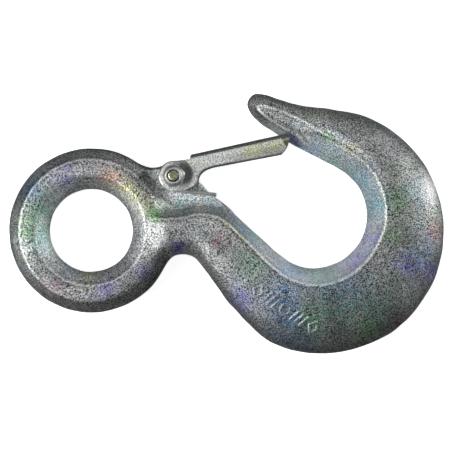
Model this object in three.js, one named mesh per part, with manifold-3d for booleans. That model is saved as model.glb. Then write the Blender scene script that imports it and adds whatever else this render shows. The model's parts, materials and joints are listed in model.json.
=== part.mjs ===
// Forged eye hook with a sprung safety latch. Millimetres, +Z up.
// The hook lies on its side. The origin is the middle of the eye, on the forging's mid-plane.
// +X runs down the load line from the eye to the bowl, and +Y points to the side that the hook opens on.

import * as THREE from 'three';
import { mergeVertices } from 'three/addons/utils/BufferGeometryUtils.js';
import Module from 'manifold-3d';

// ---- Driving dimensions ----

const EYE_BORE_RADIUS = 15.9;
const EYE_SECTION_RADIUS = 7.9;

const BOWL_X = 86.2;
const BOWL_Y = -0.4;
const BOWL_RADIUS = 20.2;
const SIDE_HEIGHT = 12.2;          // half the thickness of the shank and bowl

const PIVOT_X = 33.4;
const PIVOT_Y = 18.5;
const LUG_HALF_THICKNESS = 2.5;
const LUG_RADIUS = 5.5;
const HOLE_RADIUS = 2.9;

const SHEET = 1.5;
const EAR_OUTER_Z = 8.3;
const EAR_INNER_Z = EAR_OUTER_Z - SHEET;

const BOLT_RADIUS = 2.5;
const HEX_ACROSS_FLATS = 8;
const BOLT_HEAD_HEIGHT = 3.5;
const NUT_HEX_HEIGHT = 3.2;
const NUT_HEIGHT = 5;
const NUT_COLLAR_RADIUS = 3.7;
const INSERT_RADIUS = 3.2;

const WIRE_RADIUS = 0.7;
const COIL_RADIUS = 5.2;
const COIL_TURNS = 1.5;            // on each side of the lug
const COIL_PITCH = 1.55;

const GAP = 0.3;                   // kept between pieces that touch
const SMALL_GAP = 0.15;            // kept inside the nut
const ROUND_STEPS = 24;            // facets around a small cylinder

// ---- Solids ----

const wasm = await Module();
wasm.setup();

function solid(geometry) {
  const bare = geometry.clone();
  bare.deleteAttribute('normal');
  bare.deleteAttribute('uv');
  const merged = mergeVertices(bare, 1e-4);
  const mesh = new wasm.Mesh({
    numProp: 3,
    vertProperties: new Float32Array(merged.attributes.position.array),
    triVerts: new Uint32Array(merged.index.array),
  });
  return new wasm.Manifold(mesh);
}

function geometryOf(manifold) {
  const mesh = manifold.getMesh();
  const geometry = new THREE.BufferGeometry();
  geometry.setAttribute('position', new THREE.BufferAttribute(new Float32Array(mesh.vertProperties), 3));
  geometry.setIndex(new THREE.BufferAttribute(new Uint32Array(mesh.triVerts), 1));
  return geometry;
}

// A plate of the given outline between two heights.
function plate(shape, lowZ, highZ, curveSegments = 12) {
  const geometry = new THREE.ExtrudeGeometry(shape, {
    depth: highZ - lowZ,
    bevelEnabled: false,
    curveSegments,
  });
  return solid(geometry.translate(0, 0, lowZ));
}

// An upright body of revolution at the pivot, from [radius, z] pairs that start and end on the axis
// or close on themselves.
function turned(profile) {
  const points = profile.map(([radius, z]) => new THREE.Vector2(radius, z));
  const geometry = new THREE.LatheGeometry(points, ROUND_STEPS);
  return solid(geometry.rotateX(Math.PI / 2).translate(PIVOT_X, PIVOT_Y, 0));
}

function cylinder(radius, lowZ, highZ) {
  return turned([[0, lowZ], [radius, lowZ], [radius, highZ], [0, highZ]]);
}

function polygon(points) {
  return new THREE.Shape(points.map(([x, y]) => new THREE.Vector2(x, y)));
}

// ---- Hook body ----

// One cross-section of the forging: the point on its inner edge, the point on its outer edge, half its
// thickness, and how wide its rounded inner wall is.
function section(innerX, innerY, outerX, outerY, halfThickness, innerWall) {
  return {
    inner: new THREE.Vector3(innerX, innerY, innerWall),
    outer: new THREE.Vector3(outerX, outerY, halfThickness),
  };
}

// A cross-section of the bowl, on a ray from the bowl's centre.
function bowlSection(degrees, outerRadius, halfThickness, innerWall) {
  const angle = THREE.MathUtils.degToRad(degrees);
  const innerX = BOWL_X + BOWL_RADIUS * Math.cos(angle);
  const innerY = BOWL_Y + BOWL_RADIUS * Math.sin(angle);
  const outerX = BOWL_X + outerRadius * Math.cos(angle);
  const outerY = BOWL_Y + outerRadius * Math.sin(angle);
  return section(innerX, innerY, outerX, outerY, halfThickness, innerWall);
}

const SECTIONS = [
  // neck, starting inside the eye ring
  section(25, 7, 25.5, -13.5, 5.5, 4),
  section(34, 6.6, 34.1, -11.8, 10, 4),
  // shank
  section(43.5, 7.6, 39, -13.4, 11.8, 4.5),
  section(52, 5, 43, -19, SIDE_HEIGHT, 4.7),
  section(61.5, -3.9, 47.3, -25.8, SIDE_HEIGHT, 5),
  // bowl
  bowlSection(-136.2, 47.3, SIDE_HEIGHT, 5.4),
  bowlSection(-112, 51.8, SIDE_HEIGHT, 6.2),
  bowlSection(-88, 53.5, SIDE_HEIGHT, 6.4),
  bowlSection(-60, 54.1, SIDE_HEIGHT, 6),
  bowlSection(-32, 52.5, SIDE_HEIGHT, 6),
  bowlSection(-5, 49.7, SIDE_HEIGHT, 6.6),
  bowlSection(20, 46.9, 12, 7),
  bowlSection(40, 44.6, 11.2, 6.6),
  bowlSection(58, 43, 10.5, 6.4),
  // tip
  section(88.4, 22, 96.5, 39.8, 9.8, 6.2),
  section(80, 27.3, 84.5, 42.2, 9, 5.4),
  section(72.6, 33, 76.4, 45, 8.2, 4.6),
  section(68.3, 35.9, 71.3, 47.2, 7.2, 3.8),
  section(64.8, 39.8, 66.8, 48.1, 5.4, 2.8),
  section(63.6, 42.7, 64.2, 46, 2.6, 1.2),
];

const STEPS_PER_SECTION = 3;
const WALL_STEPS = 4;
const OUTER_WALL_SHARE = 0.6;      // of the width, taken by the rounded outer wall

// The upper half of a cross-section from the inner edge to the outer edge, as [distance in from the
// inner edge, height] pairs. Both walls are quarters of an ellipse, with a flat side between them.
function sectionProfile(width, halfThickness, innerWall) {
  const outerWall = width * OUTER_WALL_SHARE;
  const profile = [];
  for (let i = 0; i <= WALL_STEPS; i += 1) {
    const angle = (Math.PI / 2) * (i / WALL_STEPS);
    profile.push([innerWall * (1 - Math.cos(angle)), halfThickness * Math.sin(angle)]);
  }
  for (let i = WALL_STEPS; i >= 0; i -= 1) {
    const angle = (Math.PI / 2) * (i / WALL_STEPS);
    profile.push([width - outerWall * (1 - Math.cos(angle)), halfThickness * Math.sin(angle)]);
  }
  return profile;
}

function sectionRing(inner, outer) {
  const start = new THREE.Vector2(inner.x, inner.y);
  const end = new THREE.Vector2(outer.x, outer.y);
  const width = start.distanceTo(end);
  const across = end.sub(start).normalize();
  const profile = sectionProfile(width, Math.min(outer.z, SIDE_HEIGHT), inner.z);
  const place = ([distance, height]) => [
    start.x + across.x * distance,
    start.y + across.y * distance,
    height,
  ];
  const upper = profile.map(place);
  const lower = profile
    .slice(1, -1)
    .reverse()
    .map(([distance, height]) => place([distance, -height]));
  return [...upper, ...lower];
}

// The forging from neck to tip, as a skin over rings of equal point counts, closed at both ends.
function blank() {
  const innerEdge = new THREE.CatmullRomCurve3(SECTIONS.map((s) => s.inner));
  const outerEdge = new THREE.CatmullRomCurve3(SECTIONS.map((s) => s.outer));
  const count = (SECTIONS.length - 1) * STEPS_PER_SECTION;
  const positions = [];
  let ringSize = 0;
  for (let i = 0; i <= count; i += 1) {
    const ring = sectionRing(innerEdge.getPoint(i / count), outerEdge.getPoint(i / count));
    ringSize = ring.length;
    positions.push(...ring.flat());
  }
  const faces = [];
  for (let i = 0; i < count; i += 1) {
    for (let j = 0; j < ringSize; j += 1) {
      const a = i * ringSize + j;
      const b = i * ringSize + ((j + 1) % ringSize);
      faces.push(a, b, a + ringSize, b, b + ringSize, a + ringSize);
    }
  }
  const last = count * ringSize;
  for (let j = 1; j < ringSize - 1; j += 1) {
    faces.push(0, j + 1, j);
    faces.push(last, last + j, last + j + 1);
  }
  const geometry = new THREE.BufferGeometry();
  geometry.setAttribute('position', new THREE.Float32BufferAttribute(positions, 3));
  geometry.setIndex(faces);
  return solid(geometry);
}

function eyeRing() {
  const centre = EYE_BORE_RADIUS + EYE_SECTION_RADIUS;
  const geometry = new THREE.TorusGeometry(centre, EYE_SECTION_RADIUS, 16, 56);
  return solid(geometry);
}

// The thin lug that the latch turns on: round at the pivot, running into the eye and the shank.
function lug() {
  const shape = new THREE.Shape();
  shape.moveTo(24, 0);
  shape.lineTo(55, 0);
  shape.lineTo(54, 4);
  shape.lineTo(49.8, 8.2);
  shape.lineTo(47, 10.7);
  shape.absarc(PIVOT_X, PIVOT_Y, LUG_RADIUS, THREE.MathUtils.degToRad(36), THREE.MathUtils.degToRad(118));
  shape.lineTo(27.5, 22.4);
  shape.lineTo(21, 22.4);
  shape.lineTo(21, 10);
  return plate(shape, -LUG_HALF_THICKNESS, LUG_HALF_THICKNESS);
}

// The forging is thinned beside the tip's inner edge, so that the latch's sides reach past it.
const SEAT_DEPTH_Z = 6.3;
const SEAT_END_X = 83.3;

function latchSeats() {
  const outline = polygon([[60, 30], [SEAT_END_X, 20], [SEAT_END_X, 30.3], [69.2, 39.2], [62, 42.5]]);
  const upper = plate(outline, SEAT_DEPTH_Z, SIDE_HEIGHT * 2);
  const lower = plate(outline, -SIDE_HEIGHT * 2, -SEAT_DEPTH_Z);
  return upper.add(lower);
}

function hookBody() {
  const pivotHole = cylinder(HOLE_RADIUS, -SIDE_HEIGHT, SIDE_HEIGHT);
  return eyeRing().add(blank()).add(lug()).subtract(pivotHole).subtract(latchSeats());
}

// ---- Latch ----

// The latch is a pressed channel. Its web faces out of the throat and its two sides reach inwards,
// each ending in an ear at the pivot.
const WEB_START_X = 40.4;
const WEB_END_X = 74.3;
const WEB_TOP_AT_START = 26.3;
const WEB_SLOPE = 0.147;

function webTop(x) {
  return WEB_TOP_AT_START + (x - WEB_START_X) * WEB_SLOPE;
}

function latchSide() {
  const shape = new THREE.Shape();
  shape.moveTo(PIVOT_X, 12.6);
  shape.lineTo(36.8, 12.6);
  shape.quadraticCurveTo(42, 13.2, 42.7, 16.2);
  shape.quadraticCurveTo(43.2, 20.4, 50, 21.1);
  shape.lineTo(75.4, 24);
  shape.quadraticCurveTo(78, 26, 78.5, 29.6);
  shape.lineTo(77.9, webTop(77.9));
  shape.lineTo(WEB_START_X, WEB_TOP_AT_START);
  shape.lineTo(39.8, 24.5);
  shape.lineTo(33, 24.1);
  shape.quadraticCurveTo(28.6, 23.6, 28.2, 18.5);
  shape.quadraticCurveTo(28.6, 12.9, PIVOT_X, 12.6);
  return shape;
}

function latch() {
  const block = plate(latchSide(), -EAR_OUTER_Z, EAR_OUTER_Z, 6);
  const inside = plate(
    polygon([
      [20, 8],
      [84, 8],
      [84, 40],
      [WEB_END_X, 40],
      [WEB_END_X, webTop(WEB_END_X) - SHEET],
      [WEB_START_X, WEB_TOP_AT_START - SHEET],
      [WEB_START_X, 40],
      [20, 40],
    ]),
    -EAR_INNER_Z,
    EAR_INNER_Z,
  );
  return block.subtract(inside).subtract(cylinder(HOLE_RADIUS, -SIDE_HEIGHT, SIDE_HEIGHT));
}

// ---- Pivot bolt and nut ----

const EAR_FACE_Z = EAR_OUTER_Z + GAP;
const NUT_TOP_Z = EAR_FACE_Z + NUT_HEIGHT;
const BOLT_END_Z = NUT_TOP_Z + GAP;
const NUT_TURN = THREE.MathUtils.degToRad(8);

// A hexagonal prism at the pivot with one corner turned to the given angle.
function hexPrism(lowZ, highZ, turn) {
  const corner = HEX_ACROSS_FLATS / Math.sqrt(3);
  const points = [];
  for (let i = 0; i < 6; i += 1) {
    const angle = turn + (i * Math.PI) / 3;
    points.push([PIVOT_X + corner * Math.cos(angle), PIVOT_Y + corner * Math.sin(angle)]);
  }
  return plate(polygon(points), lowZ, highZ);
}

function latchBolt() {
  const headBottom = -EAR_FACE_Z - BOLT_HEAD_HEIGHT;
  const head = hexPrism(headBottom, -EAR_FACE_Z, 0);
  const tipChamfer = 0.5;
  const shank = turned([
    [0, -EAR_FACE_Z - 1],
    [BOLT_RADIUS, -EAR_FACE_Z - 1],
    [BOLT_RADIUS, BOLT_END_Z - tipChamfer],
    [BOLT_RADIUS - tipChamfer, BOLT_END_Z],
    [0, BOLT_END_Z],
  ]);
  return head.add(shank);
}

const INSERT_LOW_Z = EAR_FACE_Z + NUT_HEX_HEIGHT;
const INSERT_HIGH_Z = NUT_TOP_Z - 0.5;
const COLLAR_MOUTH_RADIUS = 3;

function lockNut() {
  const hex = hexPrism(EAR_FACE_Z, INSERT_LOW_Z, NUT_TURN);
  const collar = turned([
    [0, EAR_FACE_Z + 1],
    [NUT_COLLAR_RADIUS, EAR_FACE_Z + 1],
    [NUT_COLLAR_RADIUS, INSERT_HIGH_Z - 0.2],
    [NUT_COLLAR_RADIUS - 0.4, NUT_TOP_Z],
    [0, NUT_TOP_Z],
  ]);
  const thread = cylinder(BOLT_RADIUS + SMALL_GAP, 0, BOLT_END_Z);
  const mouth = cylinder(COLLAR_MOUTH_RADIUS, INSERT_LOW_Z + 1, BOLT_END_Z);
  const pocket = cylinder(INSERT_RADIUS + SMALL_GAP, INSERT_LOW_Z - SMALL_GAP, INSERT_HIGH_Z + SMALL_GAP);
  return hex.add(collar).subtract(thread).subtract(mouth).subtract(pocket);
}

function nutInsert() {
  const inside = BOLT_RADIUS + SMALL_GAP;
  return turned([
    [inside, INSERT_LOW_Z],
    [INSERT_RADIUS, INSERT_LOW_Z],
    [INSERT_RADIUS, INSERT_HIGH_Z],
    [inside, INSERT_HIGH_Z],
    [inside, INSERT_LOW_Z],
  ]);
}

// ---- Latch spring ----

// Half of the spring's centre line, from the end of one leg on the shank, round the coil beside the lug
// and out along an arm to the bridge under the latch's web.
const LEG_END_X = 49;
const LEG_END_Y = 10.2;
const LEG_ANGLE = THREE.MathUtils.degToRad(-100);
const ARM_ANGLE = THREE.MathUtils.degToRad(84);
const ARM_LOW_X = 41;
const ARM_LOW_Y = 23.2;
const BRIDGE_X = 50;
const BRIDGE_CORNER = 1.6;
const COIL_POINTS = 21;

function springHalf() {
  const outerZ = EAR_INNER_Z - GAP - WIRE_RADIUS;
  const innerZ = outerZ - COIL_PITCH * COIL_TURNS;
  const bridgeY = webTop(BRIDGE_X) - SHEET - GAP - WIRE_RADIUS;
  const sweep = ARM_ANGLE - LEG_ANGLE - Math.PI * 4;
  const points = [new THREE.Vector3(LEG_END_X, LEG_END_Y, outerZ)];
  for (let i = 0; i <= COIL_POINTS; i += 1) {
    const share = i / COIL_POINTS;
    const angle = LEG_ANGLE + sweep * share;
    const x = PIVOT_X + COIL_RADIUS * Math.cos(angle);
    const y = PIVOT_Y + COIL_RADIUS * Math.sin(angle);
    points.push(new THREE.Vector3(x, y, THREE.MathUtils.lerp(outerZ, innerZ, share)));
  }
  points.push(new THREE.Vector3(ARM_LOW_X, ARM_LOW_Y, innerZ));
  points.push(new THREE.Vector3(BRIDGE_X - BRIDGE_CORNER, bridgeY - GAP, innerZ));
  points.push(new THREE.Vector3(BRIDGE_X, bridgeY, innerZ - BRIDGE_CORNER));
  return points;
}

function latchSpring() {
  const half = springHalf();
  const mirrored = half.map((p) => new THREE.Vector3(p.x, p.y, -p.z)).reverse();
  const route = new THREE.CatmullRomCurve3([...half, ...mirrored]);
  const wire = new THREE.Shape();
  wire.absarc(0, 0, WIRE_RADIUS, 0, Math.PI * 2);
  const geometry = new THREE.ExtrudeGeometry(wire, {
    extrudePath: route,
    steps: 130,
    curveSegments: 4,
    bevelEnabled: false,
  });
  return solid(geometry);
}

// ---- Materials and assembly ----

function material(name, color, roughness, metalness) {
  return new THREE.MeshStandardMaterial({ name, color, roughness, metalness });
}

const parts = [
  ['hook_body', hookBody(), material('galvanised_forging', 0x8c8f92, 0.5, 0.85)],
  ['latch', latch(), material('plated_sheet', 0xa4a6a6, 0.42, 0.9)],
  ['latch_bolt', latchBolt(), material('yellow_zinc', 0xb0a873, 0.38, 0.9)],
  ['lock_nut', lockNut(), material('plated_nut', 0xa9abaa, 0.4, 0.9)],
  ['nut_insert', nutInsert(), material('nylon', 0x30343a, 0.6, 0)],
  ['latch_spring', latchSpring(), material('spring_wire', 0x9da0a2, 0.35, 0.9)],
];

const group = new THREE.Group();
for (const [name, manifold, finish] of parts) {
  const mesh = new THREE.Mesh(geometryOf(manifold), finish);
  mesh.name = name;
  group.add(mesh);
}

export default group;
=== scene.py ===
"""Eye hook with latch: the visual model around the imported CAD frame.

Shapes are modelled in millimetres in the CAD's own frame (the eye's centre at the origin, +X down the
load line, +Y towards the open side, +Z square to the hook) and become metres when a mesh is made.
"""

import json
import math

import bpy
import numpy as np
import openvdb
from mathutils import Matrix, Vector
from mathutils.kdtree import KDTree


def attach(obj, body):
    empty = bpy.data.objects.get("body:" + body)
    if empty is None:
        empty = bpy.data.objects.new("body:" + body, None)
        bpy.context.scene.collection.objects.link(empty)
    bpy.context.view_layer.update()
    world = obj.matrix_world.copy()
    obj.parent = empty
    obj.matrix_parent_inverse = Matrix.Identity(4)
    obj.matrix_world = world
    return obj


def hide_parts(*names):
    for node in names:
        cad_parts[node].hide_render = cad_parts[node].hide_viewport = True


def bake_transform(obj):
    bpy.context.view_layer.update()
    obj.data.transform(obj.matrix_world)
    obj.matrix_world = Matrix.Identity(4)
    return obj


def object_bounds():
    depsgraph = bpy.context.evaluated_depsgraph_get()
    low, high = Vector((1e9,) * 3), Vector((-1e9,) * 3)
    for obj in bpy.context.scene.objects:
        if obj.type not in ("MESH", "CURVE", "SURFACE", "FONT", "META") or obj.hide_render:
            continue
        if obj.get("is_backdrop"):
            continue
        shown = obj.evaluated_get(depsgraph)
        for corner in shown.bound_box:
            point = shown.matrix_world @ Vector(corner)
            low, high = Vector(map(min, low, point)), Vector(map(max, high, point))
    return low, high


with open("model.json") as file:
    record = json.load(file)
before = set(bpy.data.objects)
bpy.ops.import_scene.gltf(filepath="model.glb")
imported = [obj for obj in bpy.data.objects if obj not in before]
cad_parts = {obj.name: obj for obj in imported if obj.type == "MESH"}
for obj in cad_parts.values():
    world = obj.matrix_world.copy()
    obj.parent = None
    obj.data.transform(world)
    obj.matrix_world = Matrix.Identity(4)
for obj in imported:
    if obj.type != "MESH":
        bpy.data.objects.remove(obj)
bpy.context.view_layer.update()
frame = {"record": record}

MM = 0.001

# ---- Dimensions, in millimetres, as in the CAD model ----

PIVOT_X, PIVOT_Y = [v / MM for v in frame["record"]["behaviour"]["joints"][0]["pos_m"][:2]]

EYE_BORE_RADIUS = 15.9
EYE_SECTION_RADIUS = 7.9

BOWL_X, BOWL_Y = 86.2, -0.4
BOWL_RADIUS = 20.2
SIDE_HEIGHT = 12.2

LUG_HALF_THICKNESS = 2.5
LUG_RADIUS = 5.5
HOLE_RADIUS = 2.9

SHEET = 1.5
EAR_OUTER_Z = 8.3
EAR_INNER_Z = EAR_OUTER_Z - SHEET
BEND_RADIUS = 2.1                    # outside of the latch's bends

WEB_START_X = 40.4
WEB_END_X = 74.3
WEB_TOP_AT_START = 26.3
WEB_SLOPE = 0.147

BOLT_RADIUS = 2.5
HEX_ACROSS_FLATS = 8
BOLT_HEAD_HEIGHT = 3.5
NUT_HEX_HEIGHT = 3.2
NUT_HEIGHT = 5
GAP = 0.3
EAR_FACE_Z = EAR_OUTER_Z + GAP
NUT_TOP_Z = EAR_FACE_Z + NUT_HEIGHT
BOLT_END_Z = NUT_TOP_Z + GAP
NUT_TURN = math.radians(8)

WIRE_RADIUS = 0.7
COIL_RADIUS = 5.2
COIL_TURNS = 1.5
COIL_PITCH = 1.55

# ---- Distance fields: negative inside a shape, in millimetres ----


def from_pivot(x, y):
    """Distance in the plane from the latch's pivot."""
    return np.hypot(x - PIVOT_X, y - PIVOT_Y)


def smooth_min(a, b, reach):
    """The union of two shapes, with a fillet that starts where they are `reach` apart."""
    near = np.maximum(reach - np.abs(a - b), 0) / reach
    return np.minimum(a, b) - near * near * reach / 4


def smooth_max(a, b, reach):
    """The overlap of two shapes, with a rounded edge."""
    return -smooth_min(-a, -b, reach)


def ramp(value, start, width):
    """0 up to `start`, then rising to 1 over `width`. A negative width makes it rise the other way."""
    return np.clip((value - start) / width, 0, 1)


def polygon_distance(outline, x, y):
    """Distance from each point to a closed outline."""
    nearest = np.full(np.broadcast(x, y).shape, np.inf)
    inside = np.zeros(nearest.shape, bool)
    for (ax, ay), (bx, by) in zip(outline, np.roll(outline, -1, axis=0)):
        ex, ey = bx - ax, by - ay
        along = np.clip(((x - ax) * ex + (y - ay) * ey) / (ex * ex + ey * ey + 1e-12), 0, 1)
        nearest = np.minimum(nearest, np.hypot(x - ax - along * ex, y - ay - along * ey))
        if ay != by:
            inside ^= ((ay > y) != (by > y)) & (x < ex * (y - ay) / ey + ax)
    return np.where(inside, -nearest, nearest)


def plate(outline_distance, z, low, high, rounding):
    """A plate of some outline between two heights, with its edges rounded."""
    across = outline_distance + rounding
    along = np.maximum(low - z, z - high) + rounding
    outside = np.hypot(np.maximum(across, 0), np.maximum(along, 0))
    return outside + np.minimum(np.maximum(across, along), 0) - rounding


def hexagon_distance(x, y, across_flats, turn):
    """Distance to a hexagon at the pivot, with one corner turned to the given angle."""
    flats = [turn + math.radians(30 + 60 * i) for i in range(6)]
    faces = [(x - PIVOT_X) * math.cos(a) + (y - PIVOT_Y) * math.sin(a) for a in flats]
    return np.max(np.stack(np.broadcast_arrays(*faces)), axis=0) - across_flats / 2


GRID_SHIFT = np.array([0.137, 0.293, 0.411])    # in steps: keeps the sample points off flat faces
FIELD_EDGE = 4.0                                # in steps: how far from the surface a field is kept


class Volume:
    """A box of sample points, which turns a distance field on them into a mesh."""

    def __init__(self, low, high, step):
        self.low = np.array(low, float) - GRID_SHIFT * step
        self.step = step
        counts = np.ceil((np.array(high) - self.low) / step).astype(int) + 1
        axes = [self.low[i] + step * np.arange(counts[i]) for i in range(3)]
        self.x, self.y, self.z = np.meshgrid(*axes, indexing="ij", sparse=True)
        self.shape = tuple(counts)

    def distance_to_mesh(self, points, quads, reach):
        """Distance to a closed mesh, exact to `reach` millimetres away."""
        band = reach / self.step
        grid = openvdb.FloatGrid.createLevelSetFromPolygons(
            ((points - self.low) / self.step).astype(np.float32),
            quads=quads.astype(np.uint32),
            halfWidth=band,
        )
        field = np.full(self.shape, band, np.float32)
        grid.copyToArray(field)
        return field * self.step

    def surface(self, field):
        """The points and faces of the field's zero surface, facing out."""
        edge = FIELD_EDGE * self.step
        grid = openvdb.FloatGrid(edge)
        grid.copyFromArray(np.clip(np.broadcast_to(field, self.shape), -edge, edge).astype(np.float32))
        points, quads = grid.convertToQuads(0)
        points = points.astype(float) * self.step + self.low
        quads = quads.astype(int)
        a, b, c, d = (points[quads[:, i]] for i in range(4))
        volume = np.einsum("ij,ij->i", a, np.cross(b, c) + np.cross(c, d)).sum()
        return points, quads if volume > 0 else quads[:, ::-1]


def settle(points, field, rounds=2, ease=0.9, nudge=0.02):
    """Moves points that are near the field's zero surface almost onto it, so that none fall together."""
    for _ in range(rounds):
        here = field(*points.T)
        slopes = [
            (field(*(points + nudge * axis).T) - field(*(points - nudge * axis).T)) / (2 * nudge)
            for axis in np.eye(3)
        ]
        slope = np.stack(slopes, axis=1)
        steepness = np.maximum((slope * slope).sum(axis=1), 0.25)
        points = points - ease * slope * (here / steepness)[:, None]
    return points


def modelled(field, low, high, step):
    """The mesh of an analytic distance field inside a box."""
    volume = Volume(low, high, step)
    points, quads = volume.surface(field(volume.x, volume.y, volume.z))
    return settle(points, field), quads


# ---- Curves ----


def on_line(a, b, start, end, t):
    """The value at `t` on a straight run from `a` at `start` to `b` at `end`."""
    return (a * (end - t) + b * (t - start)) / (end - start)


def catmull_rom(points, per_span, measured=None):
    """A smooth centripetal curve through the points. `measured` columns set its pace."""
    p = np.array(points, float)
    p = np.vstack([2 * p[0] - p[1], p, 2 * p[-1] - p[-2]])
    columns = p if measured is None else p[:, :measured]
    pace = np.sqrt(np.linalg.norm(np.diff(columns, axis=0), axis=1))
    curve = []
    for i in range(1, len(p) - 2):
        t0, t1, t2 = -pace[i - 1], 0.0, pace[i]
        t3 = t2 + pace[i + 1]
        for t in np.linspace(t1, t2, per_span, endpoint=False):
            before = on_line(p[i - 1], p[i], t0, t1, t)
            here = on_line(p[i], p[i + 1], t1, t2, t)
            after = on_line(p[i + 1], p[i + 2], t2, t3, t)
            leaving, arriving = on_line(before, here, t0, t2, t), on_line(here, after, t1, t3, t)
            curve.append(on_line(leaving, arriving, t1, t2, t))
    curve.append(p[-2])
    return np.array(curve)


def arc(centre_x, centre_y, radius, start, end, steps):
    """Points round an arc, with its angles in degrees."""
    angles = np.radians(np.linspace(start, end, steps))
    return np.stack([centre_x + radius * np.cos(angles), centre_y + radius * np.sin(angles)], axis=1)


def bend(start, control, end, steps=8):
    """Points along a quadratic curve, without its first."""
    t = np.linspace(0, 1, steps + 1)[1:, None]
    start, control, end = (np.array(p, float) for p in (start, control, end))
    return (1 - t) ** 2 * start + 2 * t * (1 - t) * control + t * t * end


# ---- Hook body ----


# The forging's cross-sections from the neck to the tip. Each has the x and y of its inner and outer edges,
# half its thickness at the crest, the width of its steep inner wall, the width and the fall of the bevelled
# band between that wall and the crest, and how flat its side is: 2 is an ellipse, and more is flatter. Then
# comes its paint: how light the inner wall is, its paler finish raised or lowered along the forging as
# painted light and shade; how brightly the band is worn, with a painted highlight; how much darker the
# band's inner edge is painted; and how bright the worn crease at the top of the wall is, with a painted
# highlight.
NECK_AND_SHANK = [
    (21, 7, 21.5, -14.2, 5, 4, 1, 0.5, 2, 0, 0, 0, 0.2),
    (24, 7, 24.5, -13.7, 8, 4.4, 1, 0.5, 2.3, 0, 0, 0, 0.7),
    (26.8, 6.9, 27.2, -12.9, 10.6, 4.5, 1, 0.3, 2.6, 0, 0, 0, 1),
    (34, 6.6, 34.1, -11.8, 11.4, 4.4, 1.2, 0.3, 2.9, 0, 0, 0, 1),
    (43.5, 7.6, 39, -13.4, 11.9, 4.6, 1.4, 0.3, 3.8, 0.1, 0, 0, 1),
    (52, 5, 43, -19, SIDE_HEIGHT, 4.6, 1.6, 0.3, 5, 0.3, 0, 0, 1),
    (61.5, -3.9, 47.3, -25.8, SIDE_HEIGHT, 4.8, 1.6, 0.3, 5, 0.8, 0, 0, 1),
]
# The same, but with the angle of a ray from the bowl's centre and the outer radius for the two edges.
BOWL = [
    (-136.2, 47.3, SIDE_HEIGHT, 5.2, 1.6, 0.3, 4, 1.3, 0, 0, 1),
    (-112, 51.8, SIDE_HEIGHT, 6, 1.6, 0.25, 2.6, 1.5, 0, 0, 1),
    (-88, 53.5, SIDE_HEIGHT, 6.4, 1, 0.15, 1.85, 1.55, 0, 0, 1),
    (-60, 54.1, SIDE_HEIGHT, 6, 1, 0.15, 1.7, 1.35, 0, 0, 1),
    (-32, 52.5, SIDE_HEIGHT, 5.8, 1.2, 0.2, 1.85, 0.9, 0, 0.2, 0.9),
    (-5, 49.7, SIDE_HEIGHT, 6.6, 1.6, 0.3, 2.2, 0.7, 0, 0.3, 0.7),
    (20, 46.9, 12.1, 6.8, 1.8, 0.4, 2.2, 0.65, 0, 0.5, 0.7),
    (40, 44.6, 11.8, 7.2, 3, 0.9, 2.1, 0.6, 0.05, 0.7, 0.4),
    (58, 43, 11.2, 7.2, 3.8, 1.3, 2, 0.6, 0.15, 0.8, 0.3),
]
TIP = [
    (88.4, 22, 96.5, 39.8, 10, 7.2, 4.2, 1.5, 2, 0.7, 0.35, 0.8, 0.2),
    (80, 27.3, 84.5, 42.2, 8.6, 4.8, 4.6, 0.6, 2, 0.9, 0.1, 0.7, 0.1),
    (72.4, 33, 76.4, 45, 7.8, 3.4, 5.2, 0.25, 2, 0.6, 0, 0.3, 0),
    (68.4, 36, 71.4, 47.2, 7.2, 3.6, 3.6, 0.15, 2, 0, 0, 0, 0),
    (66.4, 38, 69, 47.8, 6.3, 4, 1.6, 0.1, 1.8, 0, 0, 0, 0),
    (65, 39.7, 66.9, 48, 4.9, 3.8, 0.8, 0.1, 1.8, 0, 0, 0, 0),
    (63.7, 42.4, 64.7, 46.8, 2.6, 1.7, 0.4, 0, 1.8, 0, 0, 0, 0),
    (63.4, 44, 63.7, 45.2, 0.7, 0.4, 0.2, 0, 2, 0, 0, 0, 0),
]


def bowl_section(degrees, outer_radius, *rest):
    """The row for a cross-section on a ray from the bowl's centre."""
    across, up = math.cos(math.radians(degrees)), math.sin(math.radians(degrees))
    edges = [(BOWL_X + radius * across, BOWL_Y + radius * up) for radius in (BOWL_RADIUS, outer_radius)]
    return (*edges[0], *edges[1], *rest)


SECTIONS = np.array([*NECK_AND_SHANK, *(bowl_section(*row) for row in BOWL), *TIP])

BAND_SHADE_AT = 0.9
BAND_SHADE_REACH = 0.7
SECTION_SHAPE_COLUMNS = 9
SECTION_COLUMNS_PLACING = 4
STATIONS_PER_SPAN = 12
WALL_POINTS = 16
SIDE_POINTS = 44
RING_POINTS = 200
EDGE_SOFTENING = 0.25                # the spread that rounds a cross-section's corners
WALL_CURVE = 1.35                    # 1 is a straight inner wall, 2 a round one
WALL_SHARE = 0.4                     # the most of a section's width that its inner wall can take
WALL_FADE = 0.7                      # the width over which the inner wall's paint fades at its crease


def on_inner_wall(crease, across):
    """1 on the inner wall's side of its crease and 0 past it."""
    return np.clip((crease - across) / WALL_FADE + 0.5, 0, 1)


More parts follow.
